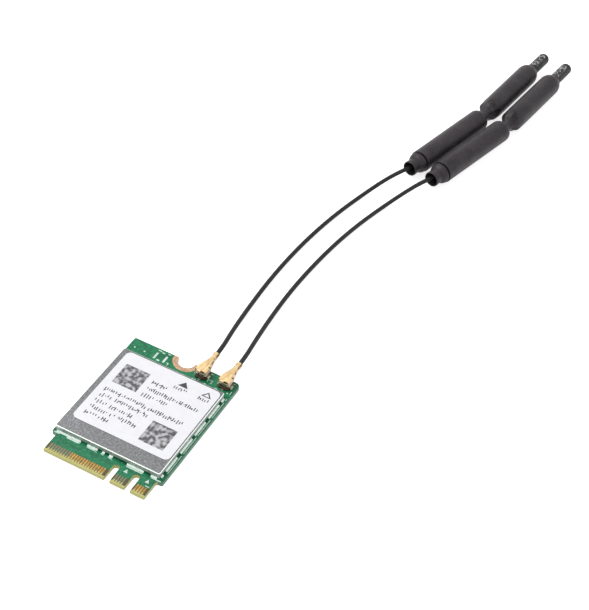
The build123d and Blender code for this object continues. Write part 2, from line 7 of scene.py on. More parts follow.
import logging
import math
from collections.abc import Sequence
from dataclasses import dataclass, field
from enum import Enum
from functools import cache

import bmesh
import bpy
import numpy as np
from mathutils import Matrix, Vector

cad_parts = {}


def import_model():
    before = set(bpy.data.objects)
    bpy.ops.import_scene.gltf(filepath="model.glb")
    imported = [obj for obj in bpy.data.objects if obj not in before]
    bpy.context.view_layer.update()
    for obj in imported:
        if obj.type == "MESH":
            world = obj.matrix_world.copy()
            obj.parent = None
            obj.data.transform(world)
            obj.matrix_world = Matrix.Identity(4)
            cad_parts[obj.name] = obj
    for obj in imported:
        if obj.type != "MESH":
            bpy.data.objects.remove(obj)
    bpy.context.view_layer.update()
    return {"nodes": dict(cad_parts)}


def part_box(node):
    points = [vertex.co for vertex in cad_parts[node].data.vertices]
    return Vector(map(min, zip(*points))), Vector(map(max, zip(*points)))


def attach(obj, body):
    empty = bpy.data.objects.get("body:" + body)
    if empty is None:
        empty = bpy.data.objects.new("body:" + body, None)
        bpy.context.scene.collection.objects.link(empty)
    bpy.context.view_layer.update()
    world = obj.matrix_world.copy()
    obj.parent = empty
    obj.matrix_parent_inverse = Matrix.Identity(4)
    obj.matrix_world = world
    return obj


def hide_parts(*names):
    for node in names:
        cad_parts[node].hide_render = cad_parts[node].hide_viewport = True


LOG = logging.getLogger("wifi_card")
MM = 0.001
BODY = "root"
PORTS = ("main", "aux")
MERGE_METRES = 1e-8
BEVEL_SAMPLES = 4
TONE_SPAN = (0.35, 0.65)
GLOSS_SPAN = (0.3, 0.7)
WHITE = (1.0, 1.0, 1.0, 1.0)

Socket = bpy.types.NodeSocket
Layers = tuple[Socket, Socket, Socket, Socket | float]
Box = tuple[Vector, Vector]
Pair = tuple[float, float]
Point = tuple[float, float, float]
Oblong = tuple[float, float, float, float]
Rows = tuple[tuple[float, tuple[Pair, ...]], ...]
Tone = tuple[int, int, int]


# Meshes


def linked(name: str, data: bpy.types.ID) -> bpy.types.Object:
    """New object at the origin, linked to the scene."""
    thing = bpy.data.objects.new(name, data)
    bpy.context.scene.collection.objects.link(thing)
    return thing


def ring_surface(name: str, rings: np.ndarray, along: np.ndarray, closed: bool) -> bpy.types.Object:
    """Skins a stack of rings: quad (i, j) joins points j and j + 1 of rings i and i + 1.

    Doubles are merged, so that a ring without radius closes an end, and faces are turned outwards.

    Args:
        name: name of the piece.
        rings: points as (ring, point on the ring, xyz), in millimetres.
        along: U of each ring.
        closed: whether the last ring is joined to the first, as in a tube with a wall.

    Returns:
        The object, with U as given and V round the rings.
    """
    rows, columns = rings.shape[:2]
    spans = rows if closed else rows - 1
    i, j = np.meshgrid(np.arange(spans), np.arange(columns), indexing="ij")
    corner_i = np.stack([i, i + 1, i + 1, i], axis=-1) % rows
    corner_j = np.stack([j, j, j + 1, j + 1], axis=-1)
    faces = (corner_i * columns + corner_j % columns).reshape(-1, 4)
    loop_uv = np.stack([along[corner_i], corner_j / columns], axis=-1)
    mesh = bpy.data.meshes.new(name)
    mesh.from_pydata((rings.reshape(-1, 3) * MM).tolist(), [], faces.tolist())
    layer = mesh.uv_layers.new(name="surface")
    layer.data.foreach_set("uv", loop_uv.astype(np.float32).ravel())
    work = bmesh.new()
    work.from_mesh(mesh)
    bmesh.ops.remove_doubles(work, verts=work.verts, dist=MERGE_METRES)
    bmesh.ops.recalc_face_normals(work, faces=work.faces)
    work.to_mesh(mesh)
    work.free()
    mesh.polygons.foreach_set("use_smooth", np.full(len(mesh.polygons), True))
    mesh.update()
    return linked(name, mesh)


def flat_patches(name: str, patches: Sequence[np.ndarray], height: float) -> bpy.types.Object:
    """Makes one sheet of flat patches that face up, such as a printed layer.

    Args:
        name: name of the piece.
        patches: outlines as (corner, xy) in millimetres, or stacks of them as (patch, corner, xy).
        height: Z of the sheet in millimetres.

    Returns:
        The object.
    """
    vertices, faces, first = [], [], 0
    for patch in patches:
        stack = patch.reshape(-1, *patch.shape[-2:])
        count, corners = stack.shape[:2]
        vertices.append(stack.reshape(-1, 2))
        faces += (first + np.arange(count * corners)).reshape(count, corners).tolist()
        first += count * corners
    flat = np.concatenate(vertices)
    lifted = np.column_stack([flat, np.full(len(flat), height)])
    mesh = bpy.data.meshes.new(name)
    mesh.from_pydata((lifted * MM).tolist(), [], faces)
    return linked(name, mesh)


def oblongs(x0: np.ndarray, x1: np.ndarray, y0: np.ndarray, y1: np.ndarray) -> np.ndarray:
    """Upright oblongs between their limits, as (patch, corner, xy), each counted anticlockwise."""
    low, high = np.minimum(y0, y1), np.maximum(y0, y1)
    x = np.stack([x0, x1, x1, x0], axis=-1)
    y = np.stack([low, low, high, high], axis=-1)
    return np.stack([x, y], axis=-1)


def dome(s: np.ndarray, full_s: float, full_r: float, low_s: float, low_r: float) -> np.ndarray:
    """Radius on an arc that leaves the axis' direction at its larger end.

    With D the fall and L the length, the arc's own radius is R = (D D + L L) / 2 D, and the
    radius at s is full_r - R + sqrt(R R - (s - full_s) squared).

    Args:
        s: stations.
        full_s: station of the larger end.
        full_r: radius there.
        low_s: station of the smaller end.
        low_r: radius there.

    Returns:
        Radii by station.
    """
    fall, length = full_r - low_r, full_s - low_s
    arc = (fall**2 + length**2) / (2 * fall)
    return full_r - arc + np.sqrt(np.maximum(arc**2 - (s - full_s) ** 2, 0))


# Nodes of materials


def screen(red: int, green: int, blue: int) -> Oblong:
    """Linear colour of a screen colour given as three numbers from 0 to 255."""
    values = np.array([red, green, blue]) / 255
    low, high = values / 12.92, ((values + 0.055) / 1.055) ** 2.4
    return (*np.where(values <= 0.04045, low, high).tolist(), 1.0)


@dataclass(frozen=True)
class Cloud:
    """Cloudy noise over the object, and the span of its values that something follows."""

    feature: float
    detail: float = 3.0
    rough: float = 0.5
    stretch: Point = (1, 1, 1)
    turn: float = 0.0
    span: tuple[float, ...] = TONE_SPAN


class Graph:
    """Nodes of a material or a world, with a method for each kind of node that is used."""

    def __init__(self, owner: bpy.types.Material | bpy.types.World, shader: str) -> None:
        """Turns the owner's nodes on and finds its shader by name."""
        owner.use_nodes = True
        self.nodes, self.links = owner.node_tree.nodes, owner.node_tree.links
        self.shader = self.nodes[shader]

    def feed(self, node: bpy.types.Node, values: dict[str | int, object]) -> bpy.types.Node:
        """Links each input that is given a socket, and sets any other to its plain value.

        Args:
            node: the node.
            values: what the inputs take, by name or number.

        Returns:
            The node.
        """
        for key, value in values.items():
            if isinstance(value, bpy.types.NodeSocket):
                self.links.new(value, node.inputs[key])
            else:
                node.inputs[key].default_value = value
        return node

    def node(self, kind: str, values: dict[str | int, object], **settings: object) -> bpy.types.Node:
        """Adds a node.

        Args:
            kind: its type.
            values: what its inputs take.
            settings: its own properties.

        Returns:
            The node.
        """
        node = self.nodes.new(kind)
        for key, value in settings.items():
            setattr(node, key, value)
        return self.feed(node, values)

    def shade(self, **values: object) -> None:
        """Feeds the shader; an underscore in a name stands for a blank."""
        self.feed(self.shader, {name.replace("_", " "): value for name, value in values.items()})

    def place(self, stretch: Point = (1, 1, 1), turn: float = 0.0) -> Socket:
        """Object coordinates after a turn about Z in degrees, then stretched along the axes."""
        vector = self.node("ShaderNodeTexCoord", {}).outputs["Object"]
        for key, value in (("Rotation", (0, 0, math.radians(turn))), ("Scale", stretch)):
            vector = self.node("ShaderNodeMapping", {"Vector": vector, key: value}).outputs["Vector"]
        return vector

    def surface(self) -> Socket:
        """The piece's own surface coordinates: U along it and V round it."""
        return self.node("ShaderNodeTexCoord", {}).outputs["UV"]

    def split(self, vector: Socket) -> tuple[Socket, ...]:
        """The three parts of a vector."""
        return tuple(self.node("ShaderNodeSeparateXYZ", {0: vector}).outputs)

    def level(self) -> Socket:
        """How level the surface is: 1 where it faces up or down, 0 on an upright wall."""
        normal = self.node("ShaderNodeNewGeometry", {}).outputs["Normal"]
        return self.math("ABSOLUTE", self.split(normal)[2])

    def seen(self) -> Socket:
        """1 for camera, glossy and transmission rays, 0 for the rest."""
        rays = self.node("ShaderNodeLightPath", {}).outputs
        return self.math("MAXIMUM", *(rays[f"Is {kind} Ray"] for kind in ("Camera", "Glossy", "Transmission")))

    def noise(self, cloud: Cloud) -> Socket:
        """A cloud's own value, from 0 to 1."""
        vector, scale = self.place(cloud.stretch, cloud.turn), 1 / (cloud.feature * MM)
        values = {"Vector": vector, "Scale": scale, "Detail": cloud.detail, "Roughness": cloud.rough}
        return self.node("ShaderNodeTexNoise", values).outputs["Fac"]

    def share(self, cloud: Cloud) -> Socket:
        """A cloud's value carried over its span."""
        return self.span(self.noise(cloud), *cloud.span)

    def cells(self, feature: float, stretch: Point) -> Socket:
        """Random value of each cell of a cellular pattern, in cells of so many millimetres."""
        values = {"Vector": self.place(stretch), "Scale": 1 / (feature * MM)}
        return self.split(self.node("ShaderNodeTexVoronoi", values).outputs["Color"])[0]

    def math(self, operation: str, first: object, *others: object) -> Socket:
        """Result of a Math node's operation on a value, or on several joined one after another."""
        for other in others or (0.0,):
            first = self.node("ShaderNodeMath", {0: first, 1: other}, operation=operation).outputs[0]
        return first

    def span(self, value: Socket, low: float, high: float, start: float = 0.0, end: float = 1.0) -> Socket:
        """Carries a value from between low and high to between start and end, clamped."""
        return self.node("ShaderNodeMapRange", dict(enumerate((value, low, high, start, end)))).outputs[0]

    def band(self, value: Socket, limits: Pair, soft: float, unit: float = MM) -> Socket:
        """1 between two limits, with soft edges outside them, all counted in a unit."""
        low, high, edge = limits[0] * unit, limits[1] * unit, soft * unit
        return self.math("MULTIPLY", self.span(value, low - edge, low), self.span(value, high, high + edge, 1, 0))

    def near(self, centre: Point, reach: float) -> Socket:
        """1 at a point given in millimetres, falling to 0 at a reach from it."""
        values = {0: self.place(), 1: tuple(value * MM for value in centre)}
        distance = self.node("ShaderNodeVectorMath", values, operation="DISTANCE").outputs["Value"]
        return self.span(distance, 0, reach * MM, 1, 0)

    def mix(self, factor: Socket, *tones: Socket | Tone) -> Socket:
        """Mixes two tones by a factor; each is a socket or a screen colour."""
        a, b = (screen(*tone) if isinstance(tone, tuple) else tone for tone in tones)
        return self.node("ShaderNodeMix", {"Factor": factor, 6: a, 7: b}, data_type="RGBA").outputs[2]

    def bump(self, height: Socket, depth: float, strength: float, edge: float) -> Socket:
        """Normal of a surface with a relief.

        Args:
            height: the relief, from 0 to 1.
            depth: its depth in millimetres.
            strength: how much of it shows.
            edge: radius in millimetres by which edges look rounded, or 0.

        Returns:
            The normal.
        """
        values = {"Distance": depth * MM, "Strength": strength, "Height": height}
        if edge:
            bevel = self.node("ShaderNodeBevel", {"Radius": edge * MM}, samples=BEVEL_SAMPLES)
            values["Normal"] = bevel.outputs[0]
        return self.node("ShaderNodeBump", values).outputs[0]


# Looks


class Look:
    """How a surface looks. Each kind is a frozen dataclass with its own values and its own layers."""

    name: str
    roughness: Pair
    specular: float = 0.5
    relief: float = 0.0
    strength: float = 1.0
    edge: float = 0.0

    def layers(self, graph: Graph) -> Layers:
        """Makes what differs from look to look.

        Args:
            graph: nodes of the material.

        Returns:
            Colour, the noise that the gloss follows, height of the relief, and how much is metal.
        """
        raise NotImplementedError

    def material(self) -> bpy.types.Material:
        """New material with this look."""
        material = bpy.data.materials.new(self.name)
        graph = Graph(material, "Principled BSDF")
        colour, sheen, height, metal = self.layers(graph)
        graph.shade(
            Base_Color=colour,
            Metallic=metal,
            Roughness=graph.span(sheen, *GLOSS_SPAN, *self.roughness),
            Specular_IOR_Level=self.specular,
            Normal=graph.bump(height, self.relief, self.strength, self.edge),
        )
        return material


@dataclass(frozen=True)
class Moulding(Look):
    """Moulded or coated surface that isn't metal: a tone that drifts in broad patches, and a fine relief."""

    name: str
    tone: Tone
    second_tone: Tone
    grain: float = 0.25
    roughness: Pair = (0.45, 0.6)
    relief: float = 0.01
    edge: float = 0.03
    metal: float = 0.0
    patch_grains: float = 8.0
    patch_finish: Pair = (2.0, 0.5)

    def layers(self, graph: Graph) -> Layers:
        """Two tones in patches, and a fine noise."""
        fine = graph.noise(Cloud(self.grain, 4, 0.6))
        patches = graph.share(Cloud(self.grain * self.patch_grains, *self.patch_finish))
        return graph.mix(patches, self.tone, self.second_tone), fine, fine, self.metal


@dataclass(frozen=True)
class Metal(Moulding):
    """Plated or drawn sheet, mottled by its fine noise itself."""

    grain: float = 0.3
    roughness: Pair = (0.25, 0.4)
    metal: float = 1.0
    patch_grains: float = 1.0
    patch_finish: Pair = (4.0, 0.6)


@dataclass(frozen=True)
class BoardLook(Look):
    """Green mask on both faces, pale laminate on the edges and on the bare tongue.

    The layer is read from the height: the mask lies within a step of each face, and what is
    further in is laminate. Fine noise stands for the weave, broad patches for copper under the mask.
    On the faces of the contact zone, the laminate between the contacts is painted dark as shade.
    """

    name: str = "solder_mask"
    roughness: Pair = (0.3, 0.42)
    specular: float = 0.35
    relief: float = 0.006
    mask: Tone = (18, 120, 78)
    mask_dark: Tone = (8, 88, 58)
    mask_light: Tone = (48, 146, 104)
    side: Tone = (88, 138, 114)
    laminate: Tone = (214, 210, 140)
    laminate_dark: Tone = (190, 186, 112)
    shade_between_contacts: Tone = (88, 84, 50)
    half_thickness: float = 0.4
    mask_inner: float = 0.37
    contact_end_y: float = -29.6
    tongue_y: float = -26.05
    facing_level: float = 0.5
    copper_patch: float = 1.6
    copper_stretch: Point = (1, 2.2, 1)
    copper_span: Pair = (0.3, 0.9)
    copper_share: float = 0.6
    fine: Cloud = Cloud(0.12)
    weave: Cloud = Cloud(0.3, 4, 0.7, (3, 1, 1), span=(0.4, 0.6))
    traces: Cloud = Cloud(0.4, stretch=(1, 0.6, 1), turn=30, span=(0.5, 0.6, 0, 0.6))

    def layers(self, graph: Graph) -> Layers:
        """Mask and laminate, by height and place."""
        _, y, z = graph.split(graph.place())
        from_middle = graph.math("ABSOLUTE", graph.math("SUBTRACT", z, self.half_thickness * MM))
        masked = graph.math("GREATER_THAN", from_middle, self.mask_inner * MM)
        copper = graph.span(graph.cells(self.copper_patch, self.copper_stretch), *self.copper_span)
        fine = graph.noise(self.fine)
        green = graph.mix(graph.math("MULTIPLY", copper, self.copper_share), self.mask, self.mask_dark)
        green = graph.mix(graph.share(self.traces), green, self.mask_light)
        bare = graph.mix(graph.share(self.weave), self.laminate, self.laminate_dark)
        facing = graph.math("GREATER_THAN", graph.level(), self.facing_level)
        contacts = graph.math("GREATER_THAN", y, self.contact_end_y * MM)
        # Painted shade: the bare laminate between the contacts is darkened on the faces of the contact zone.
        bare = graph.mix(graph.math("MULTIPLY", facing, contacts), bare, self.shade_between_contacts)
        inner = graph.mix(graph.math("LESS_THAN", y, self.tongue_y * MM), self.side, bare)
        return graph.mix(masked, inner, green), fine, graph.math("ADD", fine, copper), 0.0


@dataclass(frozen=True)
class ContactLook(Look):
    """Gold contacts with a painted reflection: warm gold in some stretches across the tongue, dull grey-brown in
    others.

    Towards the tip the gold turns olive yellow, where the plating has worn thin.
    """

    name: str = "worn_contact_gold"
    roughness: Pair = (0.32, 0.48)
    relief: float = 0.003
    metal: float = 0.8
    bright: Tone = (180, 146, 82)
    deep: Tone = (142, 112, 58)
    dull: Tone = (112, 116, 94)
    tip: Tone = (176, 170, 112)
    tip_span: Pair = (-29.5, -29.1)
    tip_share: float = 0.85
    # X limits of the stretches where a bright reflection is painted on the gold; outside them a dark reflection
    # is painted in grey-brown.
    reflection_stretches: tuple[Pair, ...] = ((-5.2, 2.2), (7.3, 10.0))
    soft: float = 0.4
    wear: Cloud = Cloud(0.9, rough=0.6)
    fine: Cloud = Cloud(0.2)

    def layers(self, graph: Graph) -> Layers:
        """Gold, with a painted reflection by its place on the tongue."""
        x, y, _ = graph.split(graph.place())
        # Painted reflection: gold inside the stretches, grey-brown outside them.
        painted_reflection = graph.math("ADD", *(graph.band(x, stretch, self.soft) for stretch in self.reflection_stretches))
        plate = graph.mix(painted_reflection, self.dull, graph.mix(graph.share(self.wear), self.bright, self.deep))
        at_tip = graph.span(y, *(limit * MM for limit in self.tip_span), self.tip_share, 0)
        fine = graph.noise(self.fine)
        return graph.mix(at_tip, plate, self.tip), fine, fine, self.metal


@dataclass(frozen=True)
class CanLook(Look):
    """Tinned sheet of the can: close speckle with pale flecks, and a painted highlight along its folded edge.

    The edge and the walls are told from the top by how level the surface is. The walls take a
    paler, less metallic tone than the top, which is painted light; they have faint upright draw
    marks, and one corner has a few fine scratches.
    """

    name: str = "tinned_sheet"
    roughness: Pair = (0.4, 0.54)
    relief: float = 0.006
    strength: float = 0.8
    tone: Tone = (130, 131, 132)
    dark: Tone = (94, 95, 97)
    fleck: Tone = (170, 171, 172)
    # Painted highlight along the folded edge.
    rim_highlight: Tone = (240, 244, 240)
    # Tone of the walls, paler than the top: painted light on the same sheet.
    wall: Tone = (196, 204, 199)
    wall_dark: Tone = (160, 169, 163)
    wall_metal: float = 0.45
    wall_levels: Pair = (0.02, 0.12)
    rim_highlight_levels: Pair = (0.2, 0.9)
    rim_highlight_soft: float = 0.08
    scratch_place: Point = (-8.0, -22.6, 2.05)
    scratch_reach: float = 2.6
    speckle: Cloud = Cloud(0.3, 4, 0.8, span=(0.38, 0.62))
    flecks: Cloud = Cloud(0.34, 1, span=(0.6, 0.72, 0, 0.45))
    scratches: Cloud = Cloud(0.7, 1, 0.4, (6, 0.4, 1), -20, (0.62, 0.66))
    draw_marks: Cloud = Cloud(0.3, stretch=(1, 1, 0.12))

    def layers(self, graph: Graph) -> Layers:
        """The top, the walls and the edge between them."""
        near = graph.near(self.scratch_place, self.scratch_reach)
        scratched = graph.math("MULTIPLY", graph.share(self.scratches), near)
        top = graph.mix(graph.share(self.speckle), self.dark, self.tone)
        top = graph.mix(graph.math("MAXIMUM", graph.share(self.flecks), scratched), top, self.fleck)
        wall = graph.mix(graph.share(self.draw_marks), self.wall, self.wall_dark)
        level = graph.level()
        # Painted light: the walls take their own paler tone.
        colour = graph.mix(graph.span(level, *self.wall_levels, 1, 0), top, wall)
        # Painted highlight where the surface turns from the top to the walls.
        colour = graph.mix(graph.band(level, self.rim_highlight_levels, self.rim_highlight_soft, unit=1), colour, self.rim_highlight)
        speckle = graph.noise(self.speckle)
        # Painted light: the walls are less metallic than the top.
        return colour, speckle, speckle, graph.span(level, *self.wall_levels, self.wall_metal, 1)


@dataclass(frozen=True)
class SleeveLook(Look):
    """Heat-shrink: charcoal that drifts in tone, with a dull satin skin.

    The skin has a fine grain all over and, in patches, short creases that run round the antenna.
    The groove behind the mouth's dome is painted dark as shade, and so are patches of painted shade
    where the sleeve flares after the neck. Both are placed by U, which is the station along the
    antenna in metres.
    """

    name: str = "heat_shrink_skin"
    roughness: Pair = (0.36, 0.5)
    specular: float = 0.25
    relief: float = 0.028
    strength: float = 0.9
    tone: Tone = (44, 39, 44)
    pale: Tone = (60, 55, 59)
    fleck: Tone = (84, 81, 83)
    shade: Tone = (18, 16, 18)
    groove: Pair = (3.16, 3.46)
    groove_soft: float = 0.08
    flare: Pair = (27.2, 28.8)
    flare_soft: float = 0.8
    drift: Cloud = Cloud(3.0)
    skin: Cloud = Cloud(0.2, 5, 0.65)
    creases: Cloud = Cloud(0.7, stretch=(0.5, 2.4, 0.5), turn=10)
    creased: Cloud = Cloud(4.0, 1, span=(0.45, 0.6))
    shade_blotches: Cloud = Cloud(1.6, 2, span=(0.46, 0.6, 0, 0.85))
    speckle: Cloud = Cloud(0.34, 2, 0.7, span=(0.48, 0.7, 0, 0.3))

    def layers(self, graph: Graph) -> Layers:
        """The skin, its creases and its painted shade."""
        skin = graph.noise(self.skin)
        creases = graph.math("MULTIPLY", graph.noise(self.creases), graph.share(self.creased))
        along = graph.split(graph.surface())[0]
        # Painted shade in the groove's recess and in patches where the sleeve flares after the neck.
        flare = graph.band(along, self.flare, self.flare_soft)
        shade_blotches = graph.math("MULTIPLY", flare, graph.share(self.shade_blotches))
        shaded = graph.math("MAXIMUM", graph.band(along, self.groove, self.groove_soft), shade_blotches)
        charcoal = graph.mix(graph.share(self.drift), self.tone, self.pale)
        charcoal = graph.mix(graph.share(self.speckle), charcoal, self.fleck)
        return graph.mix(shaded, charcoal, self.shade), skin, graph.math("ADD", skin, creases), 0.0


@dataclass(frozen=True)
class TailLook(Look):
    """Grey sleeve with two worn patches of whitish flecks along its upper side, which spell nothing.

    A fleck is a broken piece of the line where a cloudy noise crosses its middle value. U is the
    station along the antenna in metres, and V the share of the way round.
    """

    name: str = "printed_tail_sleeve"
    roughness: Pair = (0.42, 0.58)
    specular: float = 0.25
    relief: float = 0.012
    tone: Tone = (46, 45, 47)
    pale: Tone = (66, 65, 67)
    print_tone: Tone = (204, 203, 205)
    patches: tuple[Pair, ...] = ((47.9, 49.8), (50.4, 52.6))
    patch_soft: float = 0.15
    round_span: Pair = (0.17, 0.42)
    round_soft: float = 0.02
    middle_value: float = 0.5
    line_span: Oblong = (0.035, 0.07, 1, 0)
    loops: Cloud = Cloud(0.8, 1)
    worn: Cloud = Cloud(0.3, 2, span=(0.44, 0.54))
    skin: Cloud = Cloud(0.2, 4)
    drift: Cloud = Cloud(1.6, 2)

    def layers(self, graph: Graph) -> Layers:
        """The sleeve and its flecks."""
        along, around, _ = graph.split(graph.surface())
        inked = graph.math("ADD", *(graph.band(along, patch, self.patch_soft) for patch in self.patches))
        on_top = graph.band(around, self.round_span, self.round_soft, unit=1)
        loops = graph.math("ABSOLUTE", graph.math("SUBTRACT", graph.noise(self.loops), self.middle_value))
        line = graph.span(loops, *self.line_span)
        marks = graph.math("MULTIPLY", inked, on_top, line, graph.share(self.worn))
        body = graph.mix(graph.share(self.drift), self.tone, self.pale)
        skin = graph.noise(self.skin)
        return graph.mix(marks, body, self.print_tone), skin, skin, 0.0


@dataclass(frozen=True)
class CableLook(Look):
    """Black extruded jacket: satin, with long faint streaks along it."""

    name: str = "cable_jacket"
    roughness: Pair = (0.4, 0.52)
    specular: float = 0.3
    relief: float = 0.006
    tone: Tone = (24, 24, 26)
    pale: Tone = (40, 40, 42)
    streaks: Cloud = Cloud(0.3, stretch=(1, 0.12, 1), turn=8, span=(0.4, 0.7))

    def layers(self, graph: Graph) -> Layers:
        """The streaks."""
        streaks = graph.noise(self.streaks)
        return graph.mix(graph.share(self.streaks), self.tone, self.pale), streaks, streaks, 0.0


@dataclass(frozen=True)
class MottledInk(Look):
    """Print too fine to make out: soft grey patches, darker and lighter."""

    name: str = "mottled_ink"
    roughness: Pair = (0.5, 0.6)
    dark: Tone = (80, 80, 84)
    light: Tone = (198, 198, 201)
    patches: Cloud = Cloud(0.66, 0.6, span=(0.36, 0.66))

    def layers(self, graph: Graph) -> Layers:
        """The patches."""
        patches = graph.noise(self.patches)
        return graph.mix(graph.share(self.patches), self.dark, self.light), patches, patches, 0.0


@dataclass(frozen=True)
class PlugLook(Look):
    """Stamped gold sheet of a plug: pale on top with drawn streaks along it, and a paler, less metallic tan on
    its front and sides, which is painted light.

    The front and the sides are told from the top by how level the surface is. The slot in the
    front fold, the gaps at the ends of the folded ears and stretches of the taper's folds are
    painted dark as shade. The slot's and the gaps' X count from each port's own.
    """

    name: str = "pale_gold_stamping"
    roughness: Pair = (0.3, 0.42)
    relief: float = 0.02
    edge: float = 0.03
    metal: float = 0.9
    tone: Tone = (238, 211, 162)
    streak: Tone = (208, 168, 112)
    # Front and sides: a paler tan than the top, which is painted light.
    side: Tone = (255, 236, 216)
    painted_light_side_dark: Tone = (244, 208, 180)
    # Tone of the painted shade in the slot, the ear gaps and the folds.
    shade_tone: Tone = (58, 38, 24)
    ports_x: Pair = (4.05, 8.75)
    slot_x: Pair = (0.04, 0.86)
    slot_soft: float = 0.03
    slot_z: float = 2.43
    front_y: float = -2.25
    gaps: tuple[Point, ...] = ((-0.95, -2.38, 2.52), (0.97, -0.84, 2.52))
    gap_reach: float = 0.3
    gap_span: Pair = (0.2, 0.5)
    fold_y: float = 0.2
    fold_levels: Pair = (0.4, 0.75)
    fold_soft: float = 0.08
    painted_light_side_levels: Pair = (0.25, 0.6)
    streaks: Cloud = Cloud(0.3, 3, 0.6, (1, 0.22, 1), 3, (0.42, 0.7))
    mottle: Cloud = Cloud(0.35, span=(0.35, 0.6))
    # Noise that breaks up the painted shade along the folds.
    worn: Cloud = Cloud(0.7, 1, span=(0.4, 0.5, 0, 0.85))

    def painted_shade(self, graph: Graph, level: Socket) -> Socket:
        """Where shade is painted on the sheet.

        Args:
            graph: nodes of the material.
            level: how level the surface is.

        Returns:
            The mask.
        """
        x, y, z = graph.split(graph.place())
        slots, gaps = [], []
        for port_x in self.ports_x:
            start, end = self.slot_x
            slots.append(graph.band(x, (port_x + start, port_x + end), self.slot_soft))
            for across, along, up in self.gaps:
                spot = graph.near((port_x + across, along, up), self.gap_reach)
                gaps.append(graph.span(spot, *self.gap_span))
        high = graph.math("GREATER_THAN", z, self.slot_z * MM)
        front = graph.math("LESS_THAN", y, self.front_y * MM)
        # Painted shade: the slot in the front fold and the gaps at the ends of the ears are dark.
        slot = graph.math("MULTIPLY", graph.math("ADD", *slots), high, front)
        # Painted shade along stretches of the taper's folds, broken up by a noise.
        folds = graph.band(level, self.fold_levels, self.fold_soft, unit=1)
        behind = graph.math("GREATER_THAN", y, self.fold_y * MM)
        folds = graph.math("MULTIPLY", folds, graph.share(self.worn), behind)
        return graph.math("MAXIMUM", slot, *gaps, folds)

    def layers(self, graph: Graph) -> Layers:
        """The top, the sides with their painted light, and the painted shade."""
        top = graph.mix(graph.share(self.streaks), self.tone, self.streak)
        # Painted light: the front and sides take a paler tan than the top.
        side = graph.mix(graph.share(self.mottle), self.side, self.painted_light_side_dark)
        level = graph.level()
        sheet = graph.mix(graph.span(level, *self.painted_light_side_levels, 1, 0), top, side)
        colour = graph.mix(self.painted_shade(graph, level), sheet, self.shade_tone)
        # Painted light: the front and sides are not metal, so that they catch diffuse light.
        metal = graph.span(level, *self.painted_light_side_levels, 0, self.metal)
        return colour, graph.noise(self.mottle), graph.noise(self.streaks), metal


class Finish(Enum):
    """Every finish on the object. Its material is made once, when a piece first needs it."""

    BOARD = BoardLook()
    CONTACT = ContactLook()
    CAN = CanLook()
    SLEEVE = SleeveLook()
    TAIL = TailLook()
    CABLE = CableLook()
    PLUG = PlugLook()
    SQUARE_INK = MottledInk()
    NOTCH = Metal("notch_copper", (198, 168, 142), (158, 124, 98), 0.45, (0.4, 0.55))
    SOLDER = Metal("bright_solder", (226, 238, 231), (190, 210, 199), 0.4, relief=0.03)
    SOCKET = Metal("socket_plating", (212, 214, 196), (178, 180, 160))
    BRASS = Metal("drawn_brass", (216, 184, 112), (190, 152, 84), 0.6)
    LID = Metal("plated_lid", (206, 206, 202), (180, 180, 176))
    PAPER = Moulding("label_paper", (247, 247, 251), (242, 242, 247), 0.18, (0.5, 0.62), 0.004, 0.0)
    INK = Moulding("label_ink", (44, 44, 48), (62, 62, 66), 0.2, relief=0.0, edge=0.0)
    SILK = Moulding("board_print", (222, 240, 230), (196, 224, 210), 0.15, relief=0.0, edge=0.0)
    RESIN = Moulding("dark_resin", (66, 52, 38), (46, 35, 25), 0.12)
    LINER = Moulding("tan_resin", (224, 184, 154), (200, 158, 126), 0.12)
    PACKAGE = Moulding("chip_package", (38, 38, 40), (48, 48, 50), 0.1)
    FERRITE = Moulding("ferrite", (84, 84, 88), (66, 66, 70), 0.2)
    CERAMIC = Moulding("tan_ceramic", (170, 140, 108), (150, 120, 92), 0.2)
    CORE = Moulding("white_insulation", (226, 226, 222), (214, 214, 210), 0.2)

    @cache
    def material(self) -> bpy.types.Material:
        """The finish's one material."""
        return self.value.material()

    def dress(self, piece: bpy.types.Object) -> None:
        """Gives a piece this finish in place of whatever it had."""
        piece.data.materials.clear()
        piece.data.materials.append(self.material())
        LOG.info("%s: %s", piece.name, self.value.name)

    def add(self, piece: bpy.types.Object, slot: str) -> None:
        """Dresses a new piece and lets it ride on the part."""
        self.dress(piece)
        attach(piece, BODY)


# Card


@dataclass
class Card:
    """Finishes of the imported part's own nodes; a name with a gap stands for one node of each port."""

    finishes: tuple[tuple[Finish, tuple[str, ...]], ...] = (
        (Finish.BOARD, ("circuit_board",)),
        (Finish.CONTACT, ("edge_contacts_top", "edge_contacts_bottom")),
        (Finish.NOTCH, ("notch_plating",)),
        (Finish.CAN, ("shield_can",)),
        (Finish.SOLDER, ("shield_solder",)),
        (Finish.PAPER, ("label",)),
        (Finish.PACKAGE, ("radio_chip", "front_end_modules", "memory_chip")),
        (Finish.LID, ("crystal",)),
        (Finish.FERRITE, ("power_inductor",)),
        (Finish.CERAMIC, ("capacitors",)),
        (Finish.RESIN, ("socket_{}_base",)),
        (Finish.SOCKET, ("socket_{}_shell", "socket_{}_pin", "plug_{}_contact")),
        (Finish.PLUG, ("plug_{}_shell",)),
        (Finish.LINER, ("plug_{}_insulator",)),
        (Finish.CABLE, ("coax_{}",)),
        (Finish.SLEEVE, ("antenna_{}_sleeve",)),
        (Finish.BRASS, ("antenna_{}_lower_tube", "antenna_{}_upper_tube")),
        (Finish.CORE, ("antenna_{}_core",)),
        (Finish.TAIL, ("antenna_{}_tail",)),
    )

    def build(self, nodes: dict[str, bpy.types.Object]) -> None:
        """Dresses every node.

        Args:
            nodes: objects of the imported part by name.
        """
        for finish, names in self.finishes:
            for name in sorted({name.format(port) for name in names for port in PORTS}):
                finish.dress(nodes[name])


